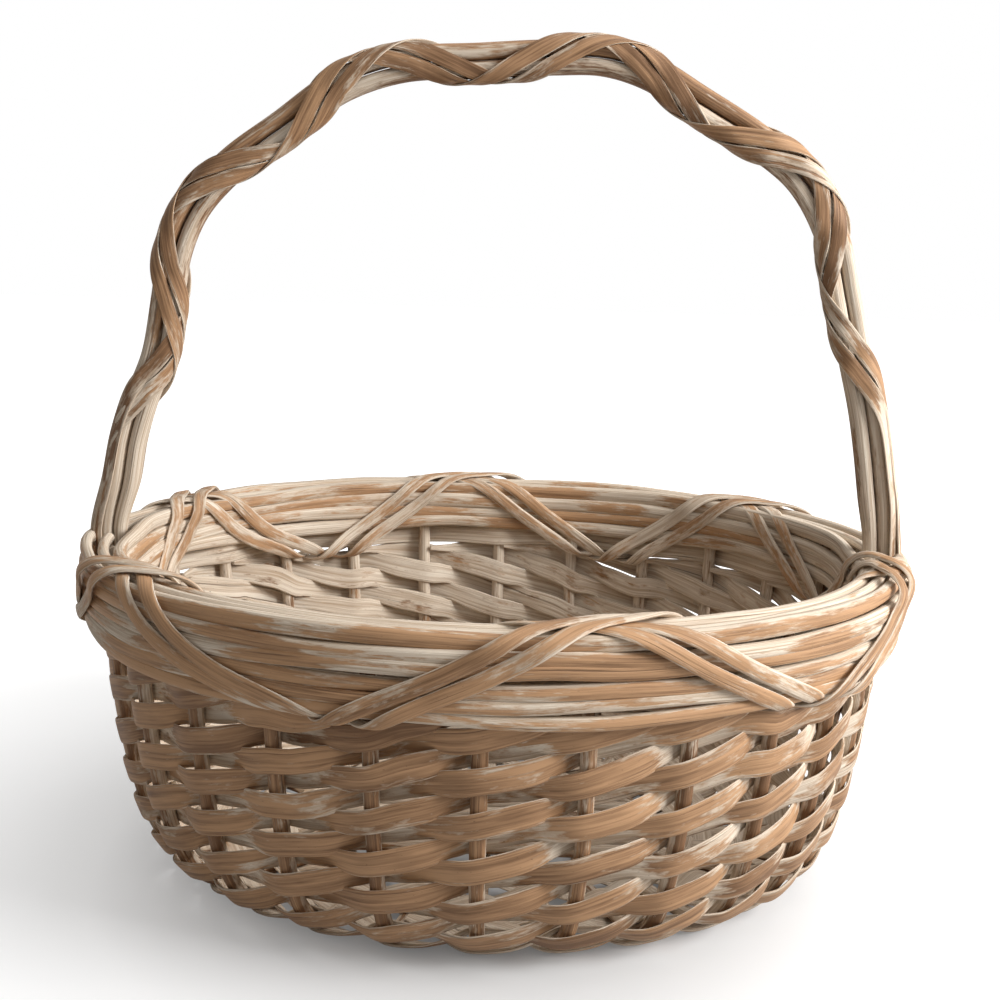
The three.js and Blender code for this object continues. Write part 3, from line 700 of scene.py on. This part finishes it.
def bend_rim_rod(body, name, row, outside, first, seed):
    """A rod of the rim that bulges round the handle's feet and laps its start. Row 0 is the top."""
    sizes = body.sizes
    side = 1 if outside else -1
    thick = sizes.outer_rod if outside else sizes.inner_rod
    high = sizes.rim_top - thick / 2 - row * (body.rod_pitch if outside else body.inner_pitch)
    offset = body.outer_rod_offset if outside else -body.inner_rod_offset
    if outside and row == 0:
        offset = body.top_rod_offset
    place, lapped = body.lapped_round(ROD_LAP, ROD_STEPS)
    angle = (first + place) * body.step
    foot_offset = side * (sizes.bow_foot + sizes.wrap_thick + GAP + thick / 2)
    away = offset + body.foot_bulge(angle) * (foot_offset - offset)
    away = away + wander(place, 1.6, seed) * 0.0007 + side * 0.004 * lapped

    # The top rods lie straighter than the others
    loose = 1.5 if row > 0 else 1.0
    sag = wander(place, 2.1, seed + 1) * 0.0011 + wander(place, 0.7, seed + 2) * 0.0004
    rise = high + sag * loose
    route = body.rim_point(angle, np.clip(rise, 0, sizes.rim_top), away)
    route[:, 2] = rise
    facing = body.normal(angle, sizes.flare) * side

    section = split_section(14, dome=0.5, back=0.5, square=0.85)
    tapered = thick * (1 - 0.6 * lapped)
    depth = tapered * (0.95 + 0.1 * wander(place, 1.1, seed + 3))
    uneven = 0.22 * wander(place, 1.9, seed + 5) + 0.04 * wander(place, 0.4, seed + 6)
    height = tapered * (1.16 + uneven)
    face = np.clip(section[:, 0] * 2.4 - 0.2, 0, 1)
    ground, top = (0.44, 0.44) if outside else (0.37, 0.22)
    # The rod is painted paler towards the right end
    patches = 0.42 * wander(place, 0.9, seed + 4) - 0.36 * body.paler_right_end(angle)
    wear = ground + top * face[None, :] + patches[:, None]
    strand = lay_strand(name, route, facing, height, depth, section, wear, seed)
    keep(strand, "rim_willow", name)


def lay_filler(body, name, start, seed):
    """A rod on the stake tops, from one handle foot to the other"""
    thick = body.sizes.filler
    right = np.array(math.pi / 2)
    end = (body.sizes.bow_depth / 2 + 0.0032) / body.speed(right, body.sizes.flare)
    angle = np.linspace(-math.pi / 2 + end, math.pi / 2 - end, 150) + start
    away = wander(angle, 0.3, seed) * 0.0006
    route = body.rim_point(angle, body.sizes.rim_top - thick / 2, away)
    route[:, 2] += wander(angle, 0.4, seed + 1) * 0.0006
    facing = np.tile(UP, (len(angle), 1))
    wear = 0.35 + 0.3 * wander(angle, 0.2, seed + 2)[:, None]
    strand = lay_strand(name, route, facing, thick, thick, round_section(), wear, seed)
    keep(strand, "rim_willow", name)


def band_outline():
    """Half the outline of the rim band, from its top middle round one side to its bottom middle, in
    equal steps: across and up as shares of its half sizes, and the way its face looks there"""
    flatness = 0.66
    turn = np.linspace(0, math.pi, 801)
    power = np.where(turn < math.pi / 2, 0.6, 0.45)
    across = np.abs(np.sin(turn)) ** power
    up = np.sign(np.cos(turn)) * np.abs(np.cos(turn)) ** power
    outline = respace(np.stack([across * flatness, up], axis=1), 101)
    ahead = unit(np.gradient(outline, axis=0))
    return outline[:, 0] / flatness, outline[:, 1], -ahead[:, 1], ahead[:, 0]


def lashing_turns(body):
    """Places of a rim skein round the basket, and how far it is wound there in half turns"""
    start = LASHING_TROUGHS[0]
    troughs = (*LASHING_TROUGHS, start + body.stakes)
    whole = 2 * len(LASHING_TROUGHS)
    knots = []
    for i, (trough, following) in enumerate(zip(troughs, troughs[1:])):
        crest = (trough + following) / 2
        half = 2 * i + 1
        at_end = abs(math.cos(crest * body.step)) < 0.6
        winding = END_WINDING if at_end else WINDING
        knots += [(crest - (crest - trough) * on, half - wound) for on, wound in winding[:0:-1]]
        knots += [(crest + (following - crest) * on, half + wound) for on, wound in winding[:-1]]
    knots = np.array(knots + [(troughs[-1], whole)])
    place = np.arange(start * LASHING_STEPS, troughs[-1] * LASHING_STEPS) / LASHING_STEPS
    wound = np.interp(place, knots[:, 0], knots[:, 1])
    reach = 9
    padded = np.concatenate([wound[-reach:] - whole, wound, wound[:reach] + whole])
    return place, soften(padded, reach)


def skein_wear(ground, section):
    """The wear of a skein, whose back keeps more of its whitewash"""
    return ground[:, None] - 0.4 * (section[None, :, 0] < 0)


def wind_lashing(body, name, outside_first, lag, lift, seed):
    """A skein wound round the rim's rods in long waves. Lag is how far along the rim it is moved,
    lift how far it stands off at its crests and troughs."""
    sizes = body.sizes
    thick = sizes.lashing_thick
    place, wound = lashing_turns(body)
    outside = 1 if outside_first else -1
    half_turn = wound % 2
    round_band = np.abs(1 - half_turn)
    side = np.where(half_turn < 1, outside, -outside)
    across, up, look_out, look_up = (
        np.interp(round_band, np.linspace(0, 1, len(column)), column) for column in band_outline()
    )
    angle = place * body.step
    angle = angle + lag / body.speed(angle, sizes.flare)

    # The faces of the rods that it lies on, which bulge round the handle's feet
    bulge = body.foot_bulge(angle)
    bow_half = sizes.bow_foot + sizes.wrap_thick
    outer_foot = max(body.outer_rod_offset, bow_half + sizes.outer_rod / 2)
    inner_foot = bow_half + sizes.inner_rod / 2
    outer = body.outer_rod_offset + bulge * (outer_foot - body.outer_rod_offset)
    inner = body.inner_rod_offset + bulge * (inner_foot - body.inner_rod_offset)
    face = np.where(side > 0, outer + sizes.outer_rod / 2, inner + sizes.inner_rod / 2)

    near = np.clip((0.38 - np.minimum(round_band, 1 - round_band)) / 0.18, 0, 1)
    stand = thick * 0.35 + 0.0005 + lift * ease(near)
    middle = (sizes.rim_top + body.band_bottom) / 2
    half = (sizes.rim_top - body.band_bottom) / 2 + 0.0004
    height = middle + up * half + look_up * stand
    away = side * (across * face + look_out * stand)
    out, _ = body.wall(body.length_at(np.minimum(height, sizes.rim_top)))
    outward = body.normal(angle, out)
    route = body.point(angle, out, height) + outward * away[:, None]
    facing = outward * (side * look_out)[:, None] + UP * look_up[:, None]
    along = run_along(route)
    section = split_section(12, dome=0.62, back=0.3, square=0.75)
    wide = sizes.lashing * (1 + 0.1 * wander(along, 0.05, seed))
    ground = np.where(side > 0, 0.8, 0.62) + 0.25 * wander(along, 0.035, seed + 1)
    wear = skein_wear(ground, section)
    strand = lay_strand(name, route, facing, wide, thick, section, wear, seed)
    keep(strand, "rim_willow", name)


# Handle

class Bow:
    """The middle line of the handle, from the left foot to the right foot"""

    def __init__(self, body):
        sizes = body.sizes
        self.sizes = sizes
        self.foot = body.inner_bottom + GAP
        right = np.array([math.pi / 2])
        reach, foot_reach = (
            float(body.rim_point(right, high, np.zeros(1))[0, 0])
            for high in (sizes.rim_top, self.foot)
        )
        rise = sizes.handle_top - sizes.rim_top - sizes.bow_rod - 2 * sizes.wrap_thick
        points = [(-foot_reach, 0, self.foot)]
        points += [(x * reach, 0, sizes.rim_top + z * rise) for x, z in BOW_SHAPE]
        points += [(foot_reach, 0, self.foot)]
        self.line = smooth_line(points, 401)
        self.out = np.cross(unit(np.gradient(self.line, axis=0)), BACKWARD)
        self.length = run_along(self.line)[-1]

    def at(self, share):
        """Place on the middle line and the direction out from the bow"""
        steps = np.arange(len(self.line))
        place = np.clip(share, 0, 1) * steps[-1]
        line, out = (
            np.stack([np.interp(place, steps, column) for column in table.T], axis=1)
            for table in (self.line, self.out)
        )
        return line, unit(out)

    def free(self, share):
        """0 where the bow is held in the rim, 1 well above it"""
        line, _ = self.at(share)
        return ease(np.clip((line[:, 2] - self.sizes.rim_top) / 0.03, 0, 1))

    def grown(self, share, full):
        """A rod's thickness, from what it is at its foot to the full one above the rim"""
        return self.sizes.bow_foot + (full - self.sizes.bow_foot) * self.free(share)


def bend_bow_rod(body, bow, name, side, seed):
    """One of the two rods of the handle, flattened where it lies on the other"""
    share = np.linspace(0, 1, 260)
    line, out = bow.at(share)
    along = share * bow.length
    rod = bow.grown(share, body.sizes.bow_rod)
    sway = wander(along, 0.08, seed) * 0.0004
    route = line + out * (side * rod / 2)[:, None] + BACKWARD * sway[:, None]
    section = split_section(16, 0.5, 0.48, square=1.0, dome_square=1.0, back_square=0.45)
    depth = bow.grown(share, body.sizes.bow_depth)
    depth = depth * (1 + 0.04 * wander(along, 0.06, seed + 1))
    thick = rod * (1 + 0.03 * wander(along, 0.05, seed + 2))
    high = np.clip((line[:, 2] - body.sizes.rim_top - 0.05) / 0.12, 0, 1)
    ground = 0.2 + 0.45 * high + 0.35 * wander(along, 0.06, seed + 3)
    wear = ground[:, None] + 0.2 * section[None, :, 1]
    strand = lay_strand(name, route, out * side, depth, thick, section, wear, seed)
    keep(strand, "handle_willow", name)


def round_both_rods(turned, radius, half):
    """After some turns round both rods: the distance out from the bow's middle line, and how far
    the skein's face looks out and to the back. The way round is two bends with flats between."""
    bend = math.pi * radius
    around = 2 * (bend + 2 * half)
    place = np.mod(turned * around + bend / 2, around)
    flip = np.where(place < around / 2, 1.0, -1.0)
    rest = np.mod(place, around / 2)
    on_bend = rest < bend
    angle = np.clip(rest / radius, 0, math.pi) - math.pi / 2
    face_out = np.where(on_bend, flip * np.cos(angle), 0.0)
    face_back = np.where(on_bend, flip * np.sin(angle), flip)
    far = np.where(on_bend, flip * half + radius * face_out, flip * (half - (rest - bend)))
    return far, face_out, face_back


def wind_wrap(body, bow, name, hand, crossings, lag, lift, limits, stray, seed):
    """A skein wound along the bow, flat on both its rods. Limits are where it stops winding and
    runs straight down into the rim. Stray is how far it stands off at each foot."""
    sizes = body.sizes
    thick = sizes.wrap_thick
    rim_share = (sizes.rim_top + 0.0126 - bow.foot) / bow.length
    tuck_share = (sizes.rim_top - 0.009 - bow.foot) / bow.length
    share = np.linspace(tuck_share, 1 - tuck_share, 480)
    line, out = bow.at(share)

    # Turns from the outer side, with a crossing of the front in each turn
    run = (share - rim_share) / (1 - 2 * rim_share) - lag / bow.length
    last_turn = 0.17
    marks = (crossings[0] - last_turn, *crossings, crossings[-1] + last_turn)
    turned = hand * np.interp(run, marks, np.arange(len(marks)) - 1) - 0.25
    reach = 20
    turned = soften(np.pad(turned, reach, mode="edge"), reach)
    turned = ease_between(turned, min(limits), max(limits), 0.05)

    depth = bow.grown(share, sizes.bow_depth)
    half = bow.grown(share, sizes.bow_rod) - depth / 2
    radius = depth / 2 + thick * 0.34 + lift * bow.free(share) + 0.0004
    far, face_out, face_back = round_both_rods(turned, radius, half)
    low = np.clip(1 - (line[:, 2] - sizes.rim_top) / 0.06, 0, 1) ** 2
    far = far + low * np.where(share < 0.5, stray[0], stray[1])
    route = line + out * far[:, None] + BACKWARD * (radius * face_back)[:, None]
    facing = out * face_out[:, None] + BACKWARD * face_back[:, None]

    # The line and the way its face looks are smoothed together
    both = smooth_line(np.hstack([route, facing * 0.004])[::3], 560)
    route, facing = both[:, :3], unit(both[:, 3:])
    along = run_along(route)
    section = split_section(14, dome=0.55, back=0.28, square=0.72)
    wide = sizes.wrap * (1 + 0.07 * wander(along, 0.05, seed))
    from_end = np.clip(np.minimum(along, along[-1] - along) / 0.17, 0, 1)
    wear = skein_wear(0.4 + 0.42 * from_end + 0.26 * wander(along, 0.03, seed + 1), section)
    strand = lay_strand(name, route, facing, wide, thick, section, wear, seed)
    keep(strand, "handle_willow", name)


# Stage

def pale_floor():
    """A white floor that keeps the shadow near the basket and runs into the white around it"""
    finish = bpy.data.materials.new("floor_white")
    finish.use_nodes = True
    nodes = Nodes(finish.node_tree)
    shader = finish.node_tree.nodes["Principled BSDF"]
    nodes.feed((0.5, 0.5, 0.5), shader.inputs["Base Color"])
    nodes.feed(0.9, shader.inputs["Roughness"])
    nodes.feed((1, 1, 1), shader.inputs["Emission Color"])
    place = nodes.add("ShaderNodeTexCoord")
    distance = nodes.add("ShaderNodeVectorMath", operation="LENGTH")
    nodes.feed(place.outputs["Object"], distance.inputs[0])
    glow = nodes.ramp(distance.outputs["Value"], (0.1, 0.1), (0.2, 0.5), (0.4, 0.8), (0.62, 1.0))
    strength = nodes.reckon("MULTIPLY", nodes.seen(), glow)
    nodes.feed(strength, shader.inputs["Emission Strength"])
    return finish


def pale_world(scene):
    """White behind the basket, and a weak warm light on it from all round"""
    scene.world = scene.world or bpy.data.worlds.new("World")
    scene.world.use_nodes = True
    tree = scene.world.node_tree
    tree.nodes.clear()
    nodes = Nodes(tree)
    blend = nodes.add("ShaderNodeMixShader")
    nodes.feed(nodes.seen(), blend.inputs["Fac"])
    for i, (light, strength) in enumerate((((1.0, 0.95, 0.89), 0.14), ((1, 1, 1), 1.0))):
        background = nodes.add("ShaderNodeBackground")
        nodes.feed(light, background.inputs["Color"])
        nodes.feed(strength, background.inputs["Strength"])
        nodes.feed(background.outputs[0], blend.inputs[i + 1])
    output = nodes.add("ShaderNodeOutputWorld")
    nodes.feed(blend.outputs[0], output.inputs["Surface"])


def add_lamp(name, place, aim, size, power):
    """A square lamp that looks at a place"""
    bpy.ops.object.light_add(type="AREA", location=place)
    lamp = bpy.context.active_object
    lamp.name = name
    lamp.data.size = size
    lamp.data.energy = power
    lamp.rotation_euler = (Vector(aim) - Vector(place)).to_track_quat("-Z", "Y").to_euler()


def add_camera(scene):
    """The camera where the photograph was taken from, a little rolled as it was"""
    azimuth = math.radians(1.13)
    rise = math.radians(12.67)
    roll = math.radians(1.54)
    distance = 0.619
    aim = Vector((0.003, 0, 0.1855))
    level = math.cos(rise)
    back = Vector((math.sin(azimuth) * level, -math.cos(azimuth) * level, math.sin(rise)))
    bpy.ops.object.camera_add(location=aim + back * distance)
    camera = bpy.context.active_object
    camera.name = "camera"
    turn = (-back).to_track_quat("-Z", "Y").to_matrix()
    camera.rotation_euler = (turn @ Matrix.Rotation(roll, 3, "Z")).to_euler()
    camera.data.lens = 45
    camera.data.sensor_width = 36
    camera.data.clip_start = 0.01
    scene.camera = camera


# Operators

class BASKET_OT_stakes(bpy.types.Operator):
    """Set the stake rods, which cross under the floor and stand up as stakes on both sides"""

    bl_idname = "basket.stakes"
    bl_label = "Stakes"

    def execute(self, context):
        body = Body(context.scene.basket_sizes)
        last = body.cross_rods // 2
        for i in range(-last, last + 1):
            angle = i * body.step
            node = f"cross_stake_rod_{i + last + 1}"
            set_stake_rod(body, node, angle, math.pi - angle, False, 100 + i)
        for i in range(body.stakes // 2 - body.cross_rods):
            angle = (last + 1 + i) * body.step
            node = f"long_stake_rod_{i + 1}"
            set_stake_rod(body, node, angle, TURN - angle, True, 140 + i)
        return {"FINISHED"}


class BASKET_OT_weavers(bpy.types.Operator):
    """Weave the floor, the wall and the round behind the rim"""

    bl_idname = "basket.weavers"
    bl_label = "Weavers"

    def execute(self, context):
        body = Body(context.scene.basket_sizes)
        pitch = body.row_pitch
        for i in range(body.stakes // 2):
            weave_side(body, f"side_weaver_{i + 1}", 2 * i, 2000 + 50 * i)
        for row in range(1, body.floor_rows + 1):
            along = (0.04 - row) * pitch
            weave_round(body, f"floor_weaver_{row}", row, along, pitch, 500 + 10 * row)
        behind = body.length_at((body.inner_bottom + body.band_bottom) / 2)
        width = body.inner_bottom - body.band_bottom
        weave_round(body, "rim_weaver", body.side_rows, behind, width, 600)
        return {"FINISHED"}


class BASKET_OT_rim(bpy.types.Operator):
    """Bend the outer and inner rods of the rim and lay the fillers on the stake tops"""

    bl_idname = "basket.rim"
    bl_label = "Rim rods"

    def execute(self, context):
        body = Body(context.scene.basket_sizes)
        for i in range(body.outer_rods):
            bend_rim_rod(body, f"rim_outer_rod_{i + 1}", i, True, 10 + 1.3 * i, 700 + 10 * i)
        for i in range(body.inner_rods):
            bend_rim_rod(body, f"rim_inner_rod_{i + 1}", i, False, 22 + 1.7 * i, 800 + 10 * i)
        lay_filler(body, "rim_filler_front", 0, 860)
        lay_filler(body, "rim_filler_back", math.pi, 870)
        return {"FINISHED"}


class BASKET_OT_lashings(bpy.types.Operator):
    """Wind the crossing pairs of skeins round the rim"""

    bl_idname = "basket.lashings"
    bl_label = "Rim lashings"

    def execute(self, context):
        body = Body(context.scene.basket_sizes)
        for way, outside_first, lift, seed in (
            ("left", True, LASHING_LIFT, 900),
            ("right", False, 0.0, 920),
        ):
            for i in range(2):
                node = f"rim_lashing_{way}_{i + 1}"
                lag = (i - 0.5) * LASHING_PITCH
                wind_lashing(body, node, outside_first, lag, lift, seed + 10 * i)
        return {"FINISHED"}


class BASKET_OT_handle(bpy.types.Operator):
    """Bend the two rods of the handle and wind its skeins"""

    bl_idname = "basket.handle"
    bl_label = "Handle"

    def execute(self, context):
        body = Body(context.scene.basket_sizes)
        bow = Bow(body)
        bend_bow_rod(body, bow, "handle_bow_outer", 1, 1000)
        bend_bow_rod(body, bow, "handle_bow_inner", -1, 1010)
        for way, hand, crossings, lift, ends, seed in (
            ("falling", -1, FALLING_CROSSINGS, 0.0, FALLING_ENDS, 1020),
            ("rising", 1, RISING_CROSSINGS, WRAP_LIFT, RISING_ENDS, 1040),
        ):
            for i, (limits, stray) in enumerate(ends):
                node = f"handle_wrap_{way}_{i + 1}"
                lag = (i - 0.5) * WRAP_PITCH
                wind_wrap(
                    body, bow, node, hand, crossings, lag, lift, limits, stray, seed + 10 * i
                )
        return {"FINISHED"}


class BASKET_OT_stage(bpy.types.Operator):
    """Set the pale floor, the soft light and the camera"""

    bl_idname = "basket.stage"
    bl_label = "Stage"

    def execute(self, context):
        scene = context.scene
        scene.view_settings.view_transform = "Standard"
        bpy.ops.object.select_all(action="DESELECT")
        bpy.ops.mesh.primitive_plane_add(size=8, location=(0, 0, 0))
        floor = context.active_object
        floor.name = "floor"
        floor.data.materials.append(pale_floor())
        pale_world(scene)
        add_lamp("key_light", (1.18, -0.38, 0.78), (0.0, 0.0, 0.15), 0.6, 27)
        add_lamp("fill_light", (0.2, -1.2, 1.3), (0.0, 0.0, 0.15), 1.2, 4.2)
        add_lamp("top_light", (0.35, 0.1, 1.45), (0.0, 0.0, 0.1), 0.9, 6)
        add_camera(scene)
        return {"FINISHED"}


class BASKET_PT_panel(bpy.types.Panel):
    """The steps of making the basket, in order"""

    bl_idname = "BASKET_PT_panel"
    bl_label = "Gathering basket"
    bl_space_type = "VIEW_3D"
    bl_region_type = "UI"
    bl_category = "Basket"

    def draw(self, context):
        for step in STEPS:
            self.layout.operator(step.bl_idname)
        for group in (context.scene.basket_sizes, context.scene.basket_colours):
            box = self.layout.box()
            for name in group.bl_rna.properties.keys():
                if name not in {"rna_type", "name"}:
                    box.prop(group, name)


STEPS = (
    BASKET_OT_stakes,
    BASKET_OT_weavers,
    BASKET_OT_rim,
    BASKET_OT_lashings,
    BASKET_OT_handle,
    BASKET_OT_stage,
)
CLASSES = (BasketSizes, BasketColours, *STEPS, BASKET_PT_panel)


def register():
    for entry in CLASSES:
        bpy.utils.register_class(entry)
    bpy.types.Scene.basket_sizes = bpy.props.PointerProperty(type=BasketSizes)
    bpy.types.Scene.basket_colours = bpy.props.PointerProperty(type=BasketColours)


def unregister():
    del bpy.types.Scene.basket_colours
    del bpy.types.Scene.basket_sizes
    for entry in reversed(CLASSES):
        bpy.utils.unregister_class(entry)


def main():
    register()
    bpy.ops.basket.stakes()
    bpy.ops.basket.weavers()
    bpy.ops.basket.rim()
    bpy.ops.basket.lashings()
    bpy.ops.basket.handle()
    bpy.ops.basket.stage()


if __name__ == "__main__":
    main()
